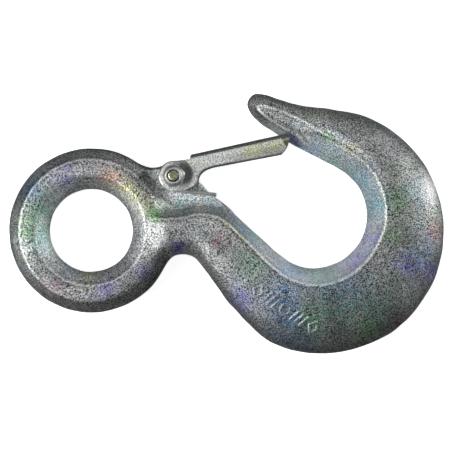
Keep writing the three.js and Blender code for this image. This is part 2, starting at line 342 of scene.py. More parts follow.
def section_ring(values):
    """The closed outline of one cross-section, with the paint of each point.

    Paint says whether a point is on the inner wall, whether it is on the bevelled band beside that, and
    how far it is past the crease between the two.
    """
    inner, outer = np.array(values[:2]), np.array(values[2:4])
    half, wall, band, drop, belly = values[4:]
    width = np.linalg.norm(outer - inner)
    wall = min(wall, width * WALL_SHARE)
    half = min(half, SIDE_HEIGHT)

    up = np.linspace(0, 1, WALL_POINTS)
    wall_in = wall * up ** WALL_CURVE
    wall_up = (half - drop) * up
    crest = wall + band
    turn = np.linspace(math.pi / 2, 0, SIDE_POINTS)
    side_in = crest + (width - crest) * np.cos(turn) ** (2 / belly)
    side_up = half * np.sin(turn)
    across = np.concatenate([wall_in, side_in])
    height = np.concatenate([wall_up, side_up])
    across = np.concatenate([across, across[-2:0:-1], across[:1]])
    height = np.concatenate([height, -height[-2:0:-1], height[:1]])

    run = np.concatenate([[0], np.cumsum(np.hypot(np.diff(across), np.diff(height)))])
    even = np.linspace(0, run[-1], RING_POINTS, endpoint=False)
    across = soften(np.interp(even, run, across), run[-1])
    height = soften(np.interp(even, run, height), run[-1])
    flat = inner + across[:, None] * (outer - inner) / width
    inside = on_inner_wall(wall, across)
    on_band = np.clip(across - wall + 0.5, 0, 1) * np.clip(crest - across + 0.5, 0, 1)
    return np.column_stack([flat, height]), np.column_stack([inside, on_band, across - wall])


def soften(values, length):
    """Blurs a closed run of values by EDGE_SOFTENING along its length."""
    frequency = np.fft.rfftfreq(len(values), d=length / len(values))
    kept = np.exp(-2 * (math.pi * frequency * EDGE_SOFTENING) ** 2)
    return np.fft.irfft(np.fft.rfft(values) * kept, len(values))


def strip(low, high, around):
    """The quads between two rings of points, from the number of each ring's first point."""
    j = np.arange(around)
    after = (j + 1) % around
    return np.stack([low + j, low + after, high + after, high + j], axis=1)


def closed_skin(rings):
    """The quads of a tube through equal rings of points, with a fan of flat quads over each end."""
    count, around = len(rings), len(rings[0])
    points = np.vstack([*rings, rings[0].mean(axis=0), rings[-1].mean(axis=0)])
    end, middle = (count - 1) * around, count * around
    quads = [strip(low, low + around, around) for low in range(0, end, around)]
    j = np.arange(around)
    after = (j + 1) % around
    quads.append(np.stack([np.full(around, middle), after, j, j], axis=1))
    quads.append(np.stack([np.full(around, middle + 1), end + j, end + after, end + after], axis=1))
    return points, np.vstack(quads)


def blank():
    """The forging from neck to tip: points, quads, the points that have paint, and their paint.

    The columns of paint are the inner wall's lightness with painted light, wear with painted highlight and
    shade, distance from a crease, and its brightness.
    """
    shapes, finish = np.split(SECTIONS, [SECTION_SHAPE_COLUMNS], axis=1)
    stations = catmull_rom(shapes, STATIONS_PER_SPAN, SECTION_COLUMNS_PLACING)
    rings, paints = zip(*(section_ring(s) for s in stations))
    points, quads = closed_skin(rings)
    place = np.repeat(np.linspace(0, len(SECTIONS) - 1, len(rings)), RING_POINTS)
    inside, band, from_crease = np.vstack(paints).T
    along = range(len(SECTIONS))
    lightness, band_wear_and_light, shade, brightness = (np.interp(place, along, column) for column in finish.T)
    lightness *= inside
    band_wear_and_light = band_wear_and_light * band - shade * np.exp(-(((from_crease - BAND_SHADE_AT) / BAND_SHADE_REACH) ** 2))
    return points, quads, points[: len(place)], np.column_stack([lightness, band_wear_and_light, from_crease, brightness])


EYE_INNER_WALL = 5.3
EYE_OUTER_WALL = 4.6
EYE_CREASE_HEIGHT = 7.35
EYE_CROWN = 0.3
EYE_WALL_CURVE = 1.85
EYE_SEGMENTS = 240
EYE_WALL_POINTS = 24
EYE_TOP_POINTS = 16


def eye_ring():
    """The eye: a ring whose section has a nearly flat top between two soft creases."""
    up = np.linspace(0, 1, EYE_WALL_POINTS)
    inner = -EYE_SECTION_RADIUS + EYE_INNER_WALL * up**EYE_WALL_CURVE
    outer = EYE_SECTION_RADIUS - EYE_OUTER_WALL * up**EYE_WALL_CURVE
    across = np.linspace(inner[-1], outer[-1], EYE_TOP_POINTS)[1:-1]
    middle, reach = (inner[-1] + outer[-1]) / 2, (outer[-1] - inner[-1]) / 2
    crown = EYE_CREASE_HEIGHT + EYE_CROWN * (1 - ((across - middle) / reach) ** 2)
    across = np.concatenate([inner, across, outer[::-1]])
    height = np.concatenate([EYE_CREASE_HEIGHT * up, crown, EYE_CREASE_HEIGHT * up[::-1]])
    across = np.concatenate([across, across[-2:0:-1]])
    height = np.concatenate([height, -height[-2:0:-1]])
    inside = on_inner_wall(inner[-1], across)
    from_inner, from_outer = inner[-1] - across, across - outer[-1]
    nearer_inner = np.abs(from_inner) < np.abs(from_outer)

    centre = EYE_BORE_RADIUS + EYE_SECTION_RADIUS
    angles = np.linspace(0, 2 * math.pi, EYE_SEGMENTS, endpoint=False)
    rings = [
        np.column_stack([(centre + across) * math.cos(a), (centre + across) * math.sin(a), height])
        for a in angles
    ]
    points = np.vstack(rings)
    around = len(across)
    starts = [i % EYE_SEGMENTS * around for i in range(EYE_SEGMENTS + 1)]
    quads = np.vstack([strip(low, high, around) for low, high in zip(starts, starts[1:])])
    quads = quads[:, [0, 3, 2, 1]]
    # Painted light and shade in the bore: lightest at the eye's far end and darkest above and below.
    side = 0.2 + np.where(np.cos(angles) < 0, 0.7, 0.05) * np.cos(angles) ** 2
    lightness = np.outer(side, inside)
    # The creases carry wear and a painted highlight: the inner one brightest along its lower side, the
    # outer one along its upper left.
    inner_wear_and_highlight = 0.3 + 0.5 * np.maximum(-np.sin(angles), 0)
    outer_wear_and_highlight = 0.5 + 0.4 * np.cos(angles - math.radians(135))
    brightness = np.where(nearer_inner, inner_wear_and_highlight[:, None], outer_wear_and_highlight[:, None])
    from_crease = np.tile(np.where(nearer_inner, from_inner, from_outer), (EYE_SEGMENTS, 1))
    columns = [lightness, np.zeros(lightness.shape), from_crease, brightness]
    return points, quads, np.column_stack([column.ravel() for column in columns])


LUG_OUTLINE = np.vstack([
    [(24, 0), (55, 0), (54, 4), (49.8, 8.2), (47, 10.7)],
    arc(PIVOT_X, PIVOT_Y, LUG_RADIUS, 36, 118, 12),
    [(27.5, 22.4), (21, 22.4), (21, 10)],
])

SEAT_OUTLINE = np.array([(60, 30), (83.3, 20), (83.3, 30.3), (69.2, 39.2), (62, 42.5)], float)
SEAT_DEPTH_Z = 6.3

LUG_WEB_LIMIT = 4
LUG_WEB_FROM_Y = 5.4
LUG_WEB_TO_X = 51
LUG_FROM_RADIUS = EYE_BORE_RADIUS + 2 * EYE_SECTION_RADIUS - 0.7
# The lug's web is lightened as painted light.
LUG_LIGHTNESS = 0.75

RING_FILLET = 3.0
LUG_FILLET = 2.6
LUG_EDGE = 0.9
SEAT_EDGE = 0.8
HOLE_EDGE = 0.4
FILLET_REACH = 6.0                   # how far from the two meshes their distances are kept
BODY_STEP = 0.6
BODY_LOW = (-34, -57, -14.4)
BODY_HIGH = (139, 51, 14.4)


def body_field(volume, blank_mesh, eye_mesh):
    """The whole forging: the eye, the bent blank and the lug, less the latch's seats and the pivot hole."""
    forging = volume.distance_to_mesh(*blank_mesh, reach=FILLET_REACH)
    ring = volume.distance_to_mesh(*eye_mesh, reach=FILLET_REACH)
    field = smooth_min(ring, forging, RING_FILLET)

    lug = polygon_distance(LUG_OUTLINE, volume.x, volume.y)
    lug = plate(lug, volume.z, -LUG_HALF_THICKNESS, LUG_HALF_THICKNESS, LUG_EDGE)
    field = smooth_min(field, lug, LUG_FILLET)

    seat = polygon_distance(SEAT_OUTLINE, volume.x, volume.y)
    seat = np.maximum(seat, SEAT_DEPTH_Z - np.abs(volume.z))
    field = smooth_max(field, -seat, SEAT_EDGE)

    hole = from_pivot(volume.x, volume.y) - HOLE_RADIUS
    return smooth_max(field, -hole, HOLE_EDGE)


def waves(points, seed, count, shortest, longest, amount):
    """A smooth random height at each point: `amount` is its typical size."""
    draw = np.random.default_rng(seed)
    ways = draw.normal(size=(count, 3))
    ways /= np.linalg.norm(ways, axis=1)[:, None]
    lengths = np.exp(draw.uniform(math.log(shortest), math.log(longest), count))
    phases = draw.uniform(0, 2 * math.pi, count)
    height = np.zeros(len(points))
    for way, length, phase in zip(ways, lengths, phases):
        height += np.sin(points @ way * (2 * math.pi / length) + phase)
    return height * amount * math.sqrt(2 / count)


def vertex_normals(points, quads):
    """The unit normal at each point, from the faces round it."""
    corners = points[quads]
    face = np.cross(corners[:, 2] - corners[:, 0], corners[:, 3] - corners[:, 1])
    normals = np.zeros_like(points)
    for i in range(quads.shape[1]):
        np.add.at(normals, quads[:, i], face)
    return normals / np.maximum(np.linalg.norm(normals, axis=1), 1e-12)[:, None]


def edge_sharpness(points, quads, rounds=2):
    """How convex the surface is at each point, in 1/mm: positive on edges, negative in corners."""
    normals = vertex_normals(points, quads)
    a = quads.ravel()
    b = np.roll(quads, -1, axis=1).ravel()
    step = points[b] - points[a]
    length = np.maximum((step * step).sum(axis=1), 1e-6)
    bent = np.einsum("ij,ij->i", normals[b] - normals[a], step) / length

    def gathered(at_a, at_b):
        return np.bincount(a, at_a, len(points)) + np.bincount(b, at_b, len(points))

    count = np.maximum(gathered(np.ones(len(a)), np.ones(len(b))), 1)
    sharp = gathered(bent, bent) / count
    for _ in range(rounds):
        sharp = 0.5 * sharp + 0.5 * gathered(sharp[b], sharp[a]) / count
    return sharp


# ---- Making pieces ----

TEAL = (0.74, 1.0, 0.92)
BLUE = (0.70, 0.88, 1.15)
CYAN = (0.68, 0.96, 1.08)
VIOLET = (0.74, 0.72, 1.15)
GREEN = (0.78, 1.06, 0.74)
YELLOW = (1.02, 1.0, 0.66)
PALE_YELLOW = (1.0, 1.0, 0.8)
ORANGE = (1.15, 0.84, 0.7)
PINK = (1.1, 0.78, 0.82)
# Grey factors for painted light and painted shade.
PAINTED_LIGHT = (1.3, 1.3, 1.3)
PAINTED_SOFT_LIGHT = (1.15, 1.15, 1.15)
PAINTED_SOFT_SHADE = (0.84, 0.84, 0.84)
PAINTED_SHADE = (0.74, 0.74, 0.74)

# Patches of the coating, by colour: where each is, and how far it reaches. The grey ones are painted light
# and painted shade. The inner wall has its own.
FACE_TINTS = {
    TEAL: [(-18, 11, 6), (-17.7, -0.7, 6), (60.4, -17.9, 6), (90, -37.4, 10), (107.5, -36.7, 9)],
    BLUE: [(-22.1, 18.2, 4), (74.1, -44, 9), (72, -30, 8), (95, -28, 7), (125.4, -18.7, 5)],
    GREEN: [
        (-24, 3, 4), (24.5, 4.6, 2.8), (27, 4.5, 2.6), (82, -40, 5), (118.1, 3.1, 4.5),
        (115.5, -10.1, 4), (92.8, 28.9, 2.6), (103, -45, 5),
    ],
    ORANGE: [(7.8, 20.2, 3.4), (11.5, 18, 3), (65.5, -12.4, 2.6)],
    YELLOW: [
        (15.2, 15.4, 3), (18.8, 11.8, 3.4), (22, 8, 3), (-0.7, -17.4, 4.5), (53.2, -0.7, 2.6),
        (59.3, -6.2, 2.6), (100.1, 23, 3),
    ],
    VIOLET: [
        (-8.3, 21.9, 4), (32.8, -8.9, 2.6), (32.8, -9.4, 2.2), (18.7, -17.6, 3), (4, -22, 5),
        (55.6, -31.1, 6), (120.1, -22.2, 5), (130, -25, 5),
    ],
    PINK: [(-14.4, -20.3, 4), (48, -7.3, 3), (116.5, -45.1, 4), (131.4, -10.2, 4)],
    PAINTED_LIGHT: [
        (7.9, 15.7, 6), (13.7, 11.5, 4), (26.3, 13.7, 4), (30.6, -11.2, 3.5), (115.5, -29, 7),
        (-24.4, -7.3, 4), (24.1, -16.2, 3),
    ],
    PAINTED_SHADE: [(48.5, -18, 4), (89.8, -42.3, 6), (65.4, -40.6, 4)],
    PAINTED_SOFT_SHADE: [(107, 26.5, 8), (118.8, 20, 4.5), (78.7, -25.4, 3), (107.5, -18, 5)],
    PAINTED_SOFT_LIGHT: [(77.9, -36, 3.5), (-10.7, 13.2, 3), (19.3, 2.7, 4), (5.3, -20.1, 4)],
}
WALL_TINTS = {
    VIOLET: [(80.5, 29.4, 3.2), (110, -11.8, 6.5), (100.9, -19.6, 5)],
    BLUE: [(85.9, 24.4, 4.2), (75, -20.5, 5), (58.6, 0.4, 3.6)],
    TEAL: [(94.1, 19.6, 3.6), (87.2, -21.7, 5), (62.6, -4.2, 3), (33.7, 8, 2.2)],
    CYAN: [(103.3, 12.7, 5.5), (109.5, 2, 6)],
    PAINTED_LIGHT: [(43, 4.5, 4.5)],
}
LATCH_TINTS = {PALE_YELLOW: [(62 + 3 * i, 25.6 + 0.5 * i, 2.2) for i in range(6)]}

TINT_STRENGTH = 1.6
WALL_TINT_FROM = 0.3                 # how far below the crease the inner wall's own colours begin
WALL_TINT_FADE = 0.4


def tint_at(points, tints):
    """The coating's colour at each point, as a factor."""
    colour = np.ones((len(points), 3))
    for shade, spots in tints.items():
        for x, y, reach in spots:
            near = np.exp(-((points[:, 0] - x) ** 2 + (points[:, 1] - y) ** 2) / reach**2)
            colour *= 1 + near[:, None] * (np.array(shade) - 1)
    return np.clip(colour**TINT_STRENGTH, 0.3, 1.5)


def mark(mesh, name, values):
    """Keeps a number for each point of the mesh, for its material."""
    layer = mesh.attributes.new(name, "FLOAT", "POINT")
    layer.data.foreach_set("value", np.ascontiguousarray(values, np.float32))


def mark_tints(mesh, colour):
    """Keeps a colour for each point of the mesh, for its material."""
    layer = mesh.attributes.new("tint", "FLOAT_COLOR", "POINT")
    colour = np.column_stack([colour, np.ones(len(colour))])
    layer.data.foreach_set("color", colour.ravel().astype(np.float32))


def new_object(name, points, faces, material):
    """An object from lists of points, in metres, and faces."""
    mesh = bpy.data.meshes.new(name)
    mesh.from_pydata(points, [], faces)
    mesh.update()
    mesh.materials.append(material)
    obj = bpy.data.objects.new(name, mesh)
    bpy.context.collection.objects.link(obj)
    return obj


def smooth_object(name, points, faces, material, tints=None):
    """A smoothly shaded object from a mesh in millimetres, with its coating's colours."""
    obj = new_object(name, (points * MM).tolist(), faces, material)
    obj.data.shade_smooth()
    mark_tints(obj.data, np.ones((len(points), 3)) if tints is None else tints)
    return obj


def piece(name, points, faces, material, body, slot, *replaced, tints=None):
    """A visible piece from a mesh in millimetres, riding on a CAD body."""
    obj = smooth_object(name, points, faces.tolist(), material, tints)
    mark(obj.data, "sharpness", edge_sharpness(points, faces))
    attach(obj, body)
    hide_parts(*replaced)
    return obj


PAINT_NEIGHBOURS = 4
PAINT_EASE = 0.05                    # keeps a neighbour at no distance from counting without limit


def search_tree(places):
    """A tree that finds which of the places are nearest to a point."""
    tree = KDTree(len(places))
    for i, place in enumerate(places):
        tree.insert(place, i)
    tree.balance()
    return tree


def paint_from(points, placed, paint):
    """The paint of each point of the finished skin, from the modelled points that are nearest to it."""
    tree = search_tree(placed.tolist())
    found = [tree.find_n(place, PAINT_NEIGHBOURS) for place in points.tolist()]
    index = np.array([[near[1] for near in nearest] for nearest in found])
    weight = 1 / (np.array([[near[2] for near in nearest] for nearest in found]) + PAINT_EASE) ** 2
    return (paint[index] * weight[:, :, None]).sum(axis=1) / weight.sum(axis=1)[:, None]


# Painted shade on the bowl's back: how dark, its turn, and where it starts and fades in.
DARK_RIM = 0.45
DARK_RIM_TURN = math.radians(-8)
DARK_RIM_INSIDE = 45
DARK_RIM_FADE = 6


def painted_shade_rim(x, y):
    """Painted shade along the bottom of the bowl's back."""
    dx, dy = x - BOWL_X, y - BOWL_Y
    below = np.clip(-np.sin(np.arctan2(dy, dx) + DARK_RIM_TURN), 0, 1) ** 2
    return DARK_RIM * below * ramp(np.hypot(dx, dy), DARK_RIM_INSIDE, DARK_RIM_FADE)


# Lines on both faces of the forging, in the plan view: the route, and how bright and high each one is.
# The tip's ridge is raised and painted bright, as wear and a painted highlight.
TIP_RIDGE = [
    (92.9, 29.7), (87.4, 33.6), (83.7, 36.2), (76.2, 40.2), (70.6, 42.5), (68.3, 43.1), (67.3, 42.3),
    (67.9, 41), (70.3, 38.7), (75.8, 34.8), (78.4, 33.1),
]
# The seat's notch is sunk and painted dark as painted shade.
SEAT_NOTCH = [(82.2, 32.4), (83.3, 30.4), (85.4, 27.9)]
SURFACE_LINES = [(TIP_RIDGE, 0.9, 0.25), (SEAT_NOTCH, -0.8, -0.15)]
LINE_REACH = 1.7
LINE_WIDTH = 0.55
LINE_POINTS = 24
LINE_LEAST_FACING = 0.3              # the surface has to face up or down this much to carry a line
TIP_FROM_X, TIP_FROM_Y = 60, 20
# The painted glint on the bowl's back, also made smoother: its place, how far it reaches across and along,
# and its strength.
GLINT_SPOT = (131.1, 6.9)
GLINT_SPOT_REACH = (2.2, 4.6)
GLINT_SPOT_STRENGTH = 2
# Above this, the lug's top edge, which faces away from the light, is painted dark as painted shade.
LUG_TOP_SHADE_Y = 21.6


def distance_to_route(points, route):
    """Distance in the plan view from each point to a smooth line."""
    tree = search_tree([(x, y, 0) for x, y in route.tolist()])
    return np.array([tree.find((x, y, 0))[2] for x, y in points[:, :2].tolist()])


def surface_lines(points, normals, paint):
    """Draws the lines into the paint, and gives how far each point is lifted by them."""
    lift = np.zeros(len(points))
    on_face = np.abs(normals[:, 2]) > LINE_LEAST_FACING
    near = np.flatnonzero((points[:, 0] > TIP_FROM_X) & (points[:, 1] > TIP_FROM_Y) & on_face)
    for route, brightness, height in SURFACE_LINES:
        away = distance_to_route(points[near], catmull_rom(route, LINE_POINTS))
        lift[near] += height * np.exp(-((away / LINE_WIDTH) ** 2))
        reached = away < LINE_REACH
        paint[near[reached], 2] = away[reached]
        paint[near[reached], 3] = brightness
    return lift


def painted_glint(x, y):
    """A painted highlight where the bowl's back catches a glint, made smoother too, long in the direction
    of the bowl's edge.
    """
    out = np.array(GLINT_SPOT) - (BOWL_X, BOWL_Y)
    out = out / np.linalg.norm(out)
    dx, dy = x - GLINT_SPOT[0], y - GLINT_SPOT[1]
    across, along = dx * out[0] + dy * out[1], dy * out[0] - dx * out[1]
    return np.exp(-((across / GLINT_SPOT_REACH[0]) ** 2) - (along / GLINT_SPOT_REACH[1]) ** 2)


# Plain raised marks, standing where the forging has its raised characters.
MARKS_CENTRE = (72.3, -35.2)
MARKS_ANGLE = math.radians(-37.6)
MARK_PITCH = 6.3
MARK_STROKE = 0.65
MARK_HEIGHT = 0.55
MARK_DEPTH = 0.5
MARK_EDGE = 0.35
MARKS_LOW, MARKS_HIGH = (55, -52, 8), (90, -18, 13.6)
MARKS_STEP = 0.22
MARKS_REACH = 1.6


def bar(u, v, start, end):
    """Distance in the plane to a round-ended bar."""
    along = np.array(end, float) - start
    t = np.clip(((u - start[0]) * along[0] + (v - start[1]) * along[1]) / (along @ along), 0, 1)
    return np.hypot(u - start[0] - t * along[0], v - start[1] - t * along[1]) - MARK_STROKE


def diamond(u, v, centre):
    """Distance in the plane to the outline of a diamond."""
    return np.abs((np.abs(u - centre) * 1.25 + np.abs(v)) / 1.6 - 1.5) - MARK_STROKE * 0.8


def slanted_bars(u, v, centre):
    """Distance in the plane to three bars that lean the same way."""
    bars = [bar(u, v, (centre + k * 2.1 - 0.6, -2.1), (centre + k * 2.1 + 0.6, 2.1)) for k in (-1, 0, 1)]
    return np.minimum.reduce(bars)


def marks_outline(x, y):
    """Distance in the plane to a row of diamonds, slanted bars and a ring."""
    dx, dy = x - MARKS_CENTRE[0], y - MARKS_CENTRE[1]
    u = dx * math.cos(MARKS_ANGLE) + dy * math.sin(MARKS_ANGLE)
    v = dy * math.cos(MARKS_ANGLE) - dx * math.sin(MARKS_ANGLE)
    ring = np.abs(np.hypot(u, v) - 1.9) - MARK_STROKE
    bars = [slanted_bars(u, v, side * MARK_PITCH) for side in (-1, 1)]
    diamonds = [diamond(u, v, side * 2 * MARK_PITCH) for side in (-1, 1)]
    return np.minimum.reduce([ring, *bars, *diamonds])


def hook_paint(points, normals, placed, paint):
    """The forging's paint, the lift of its lines, and the share of the inner wall's own colours."""
    paint = paint_from(points, placed, paint)
    lift = surface_lines(points, normals, paint)
    x, y, z = points.T
    off_eye = np.hypot(x, y) > LUG_FROM_RADIUS
    # The painted glint, and the painted shade along the bowl's bottom, go into the wear column.
    paint[:, 1] += GLINT_SPOT_STRENGTH * painted_glint(x, y) - painted_shade_rim(x, y)
    lug = (np.abs(z) < LUG_WEB_LIMIT) & (y > LUG_WEB_FROM_Y) & (x > 0) & (x < LUG_WEB_TO_X) & off_eye
    top = lug & (y > LUG_TOP_SHADE_Y)
    # The lug's web takes the inner wall's paler finish, lightened as painted light; its top edge gets
    # painted shade.
    paint[lug, 0] = LUG_LIGHTNESS
    paint[top, :2] = 0, -1
    return paint, lift, off_eye * ramp(-paint[:, 2], WALL_TINT_FROM, WALL_TINT_FADE)


def hook_body(material):
    """The forging's skin."""
    skin, quads, placed, paint = blank()
    ring, ring_quads, ring_paint = eye_ring()
    volume = Volume(BODY_LOW, BODY_HIGH, BODY_STEP)
    points, faces = volume.surface(body_field(volume, (skin, quads), (ring, ring_quads)))
    normals = vertex_normals(points, faces)
    placed, paint = np.vstack([placed, ring]), np.vstack([paint, ring_paint])
    paint, lift, on_wall = hook_paint(points, normals, placed, paint)
    lift += waves(points, seed=11, count=60, shortest=5, longest=20, amount=0.05)
    points = points + normals * lift[:, None]
    on_wall = on_wall[:, None]
    tints = tint_at(points, FACE_TINTS) * (1 - on_wall) + tint_at(points, WALL_TINTS) * on_wall
    body = piece("forged_body", points, faces, material, "hook", "forging", "hook_body", tints=tints)
    for name, column in zip(("inner_wall", "wear_and_painted_light", "from_crease", "crease_brightness"), paint.T):
        mark(body.data, name, column)
    raised_marks(material, skin, quads)


def raised_marks(material, skin, quads):
    """The marks, which follow the forging's skin and stand a little above it."""
    volume = Volume(MARKS_LOW, MARKS_HIGH, MARKS_STEP)
    surface = volume.distance_to_mesh(skin, quads, reach=MARKS_REACH)
    marks = smooth_max(marks_outline(volume.x, volume.y), surface - MARK_HEIGHT, MARK_EDGE)
    points, faces = volume.surface(np.maximum(marks, -surface - MARK_DEPTH))
    piece("raised_marks", points, faces, material, "hook", "forging", tints=tint_at(points, FACE_TINTS))


# ---- Latch ----


def web_top(x):
    """The height of the top of the latch's web."""
    return WEB_TOP_AT_START + (x - WEB_START_X) * WEB_SLOPE


LATCH_OUTLINE = np.vstack([
    [(PIVOT_X, 12.6), (36.8, 12.6)],
    bend((36.8, 12.6), (42, 13.2), (42.7, 16.2)),
    bend((42.7, 16.2), (43.2, 20.4), (50, 21.1)),
    [(75.4, 24)],
    bend((75.4, 24), (78, 26), (78.5, 29.6)),
    [(77.9, web_top(77.9)), (WEB_START_X, WEB_TOP_AT_START), (39.8, 24.5), (33, 24.1)],
    bend((33, 24.1), (28.6, 23.6), (28.2, 18.5)),
    bend((28.2, 18.5), (28.6, 12.9), (PIVOT_X, 12.6))[:-1],
])
SHEET_EDGE = 0.3
TIP_SLOT_HALF_WIDTH = 6.45
LATCH_END_DARK_X = 76.9
LATCH_SHADE_FROM_X = 38
LATCH_LOW_SHADE = 0.35
EAR_EDGE_SHADE = 0.25
# The nut's painted shadow on the ear: its direction, its outer reach and how it narrows.
NUT_SHADOW_ANGLE = math.radians(12)
NUT_SHADOW_OUTSIDE = 7.8
NUT_SHADOW_NARROWING = 1.2
SHADE_FADE = 0.5
LATCH_BOX = (27, 11.5, -9.4), (80, 33, 9.4)


def latch_field(x, y, z):
    """A pressed channel: a sheet bent over at both sides of its web, cut to the latch's outline."""
    lean = math.atan(WEB_SLOPE)
    above = (y - web_top(x)) * math.cos(lean)
    across = np.abs(z) - (EAR_OUTER_Z - BEND_RADIUS)
    up = above + BEND_RADIUS
    block = np.hypot(np.maximum(across, 0), np.maximum(up, 0))
    block = block + np.minimum(np.maximum(across, up), 0) - BEND_RADIUS
    bent = np.abs(block + SHEET / 2) - SHEET / 2
    flat = np.abs(np.abs(z) - (EAR_OUTER_Z - SHEET / 2)) - SHEET / 2
    below_bend = np.maximum(x - WEB_START_X - 1, above + BEND_RADIUS)
    ears = np.maximum(flat, np.minimum(x - WEB_START_X, below_bend))
    channel = smooth_max(bent, WEB_START_X - x, SHEET_EDGE)
    tip_slot = np.maximum(WEB_END_X - x, np.abs(z) - TIP_SLOT_HALF_WIDTH)
    channel = smooth_max(channel, -tip_slot, SHEET_EDGE)
    sheet = smooth_max(np.minimum(ears, channel), polygon_distance(LATCH_OUTLINE, x, y), SHEET_EDGE)
    hole = from_pivot(x, y) - HOLE_RADIUS
    return smooth_max(sheet, -hole, SHEET_EDGE)


def nut_painted_shadow(x, y):
    """The nut's cast shadow, painted round it: a dark crescent that is darkest towards the latch's end."""
    around = np.arctan2(y - PIVOT_Y, x - PIVOT_X) - NUT_SHADOW_ANGLE
    reach = NUT_SHADOW_OUTSIDE - NUT_SHADOW_NARROWING * (1 - np.cos(around))
    radius = from_pivot(x, y)
    return ramp(radius, reach, -0.8) * np.clip(0.25 + 0.6 * np.cos(around), 0, 1)


def latch_sheen_and_shade(x, y, z):
    """The latch's painted light: a painted highlight below the bends, and where negative, painted shade and
    darkening.
    """
    depth = web_top(x) - y
    to_edge = -polygon_distance(LATCH_OUTLINE, x, y)
    on_channel = ramp(x, WEB_START_X, 0.4) * ramp(np.abs(z), EAR_INNER_Z - 1.5, 0.6)
    # A painted highlight along the flange just below the bend.
    bend_highlight = np.exp(-(((depth - BEND_RADIUS - 0.3) / 0.35) ** 2))
    # Painted shade on the bend turned from the light, along the lower edge and in the nut's shadow; also
    # darker at the end, over the low half and round the ear's edge.
    darkening = [
        on_channel * ramp(depth, 0.1, 0.3) * ramp(depth, BEND_RADIUS - 0.4, -0.3),
        on_channel * ramp(x + 0.5 * (y - 26), LATCH_END_DARK_X, 0.6),
        0.8 * ramp(to_edge, 0.75, -SHADE_FADE) * (depth > BEND_RADIUS) * (x > LATCH_SHADE_FROM_X),
        LATCH_LOW_SHADE * ramp(depth, 3.6, 0.8) * ramp(x, 52, 8),
        EAR_EDGE_SHADE * ramp(to_edge, 0.8, -SHADE_FADE) * (x < LATCH_SHADE_FROM_X),
        nut_painted_shadow(x, y) * (np.abs(z) > EAR_INNER_Z),
    ]
    return 0.8 * on_channel * bend_highlight - 1.25 * np.maximum.reduce(darkening)


def latch(material):
    """The pressed latch."""
    points, quads = modelled(latch_field, *LATCH_BOX, 0.3)
    tints = tint_at(points, LATCH_TINTS)
    obj = piece("pressed_latch", points, quads, material, "latch", "latch_sheet", "latch", tints=tints)
    mark(obj.data, "wear_and_painted_light", latch_sheen_and_shade(*points.T))


# ---- Bolt, nut and insert ----


def turned_distance(profile, x, y, z):
    """Distance to a body of revolution at the pivot, from its closed [radius, z] outline."""
    radius = from_pivot(x, y)
    return polygon_distance(np.array(profile, float), radius, z)


CHAMFER = math.radians(30)
FINE_EDGE = 0.2
CLEARANCE = 0.15


def hex_block(x, y, z, low, high, turn, chamfer_high):
    """A hexagonal block with its corners turned down at its low end, and at its high end if wanted."""
    sides = hexagon_distance(x, y, HEX_ACROSS_FLATS, turn)
    block = smooth_max(sides, np.maximum(low - z, z - high), 0.25)
    past_flats = (from_pivot(x, y) - HEX_ACROSS_FLATS / 2) * math.sin(CHAMFER)
    if chamfer_high:
        block = smooth_max(block, (z - high) * math.cos(CHAMFER) + past_flats, FINE_EDGE)
    return smooth_max(block, (low - z) * math.cos(CHAMFER) + past_flats, FINE_EDGE)


BOLT_POINT_RADIUS = 2.0
BOLT_POINT_FROM_Z = NUT_TOP_Z - 1.1
BOLT_FACE_RADIUS = 1.8
THREAD_PITCH = 0.8
THREAD_DEPTH = 0.36
THREAD_START_Z = 5
THREAD_RUN_IN = 1.5
CONE_EVENING = 0.7                   # brings a field that runs down a cone back to a true distance


def bolt_field(x, y, z):
    """The hex bolt, with a thread as far as its turned-down point."""
    head = hex_block(x, y, z, -EAR_FACE_Z - BOLT_HEAD_HEIGHT, -EAR_FACE_Z, 0, chamfer_high=False)
    angle = np.arctan2(y - PIVOT_Y, x - PIVOT_X)
    thread = (z / THREAD_PITCH - angle / (2 * math.pi)) % 1
    depth = THREAD_DEPTH * np.abs(thread - 0.5) * 2 * ramp(z, THREAD_START_Z, THREAD_RUN_IN)
    radius = from_pivot(x, y)
    allowed = np.clip(BOLT_RADIUS + BOLT_POINT_FROM_Z - z, BOLT_POINT_RADIUS, BOLT_RADIUS)
    shank = radius - allowed + depth * ramp(z, BOLT_POINT_FROM_Z, -0.3)
    shank = np.maximum(shank, z - BOLT_END_Z + radius - BOLT_FACE_RADIUS) * CONE_EVENING
    shank = smooth_max(shank, np.maximum(z - BOLT_END_Z, -EAR_FACE_Z - 1 - z), FINE_EDGE)
    return smooth_min(head, shank, 0.5)


NUT_MOUTH_RADIUS = 2.35
NUT_LIP_RADIUS = 2.95
NUT_COLLAR_RADIUS = 3.7
INSERT_RADIUS = 3.2
INSERT_TOP_Z = NUT_TOP_Z - 1.15


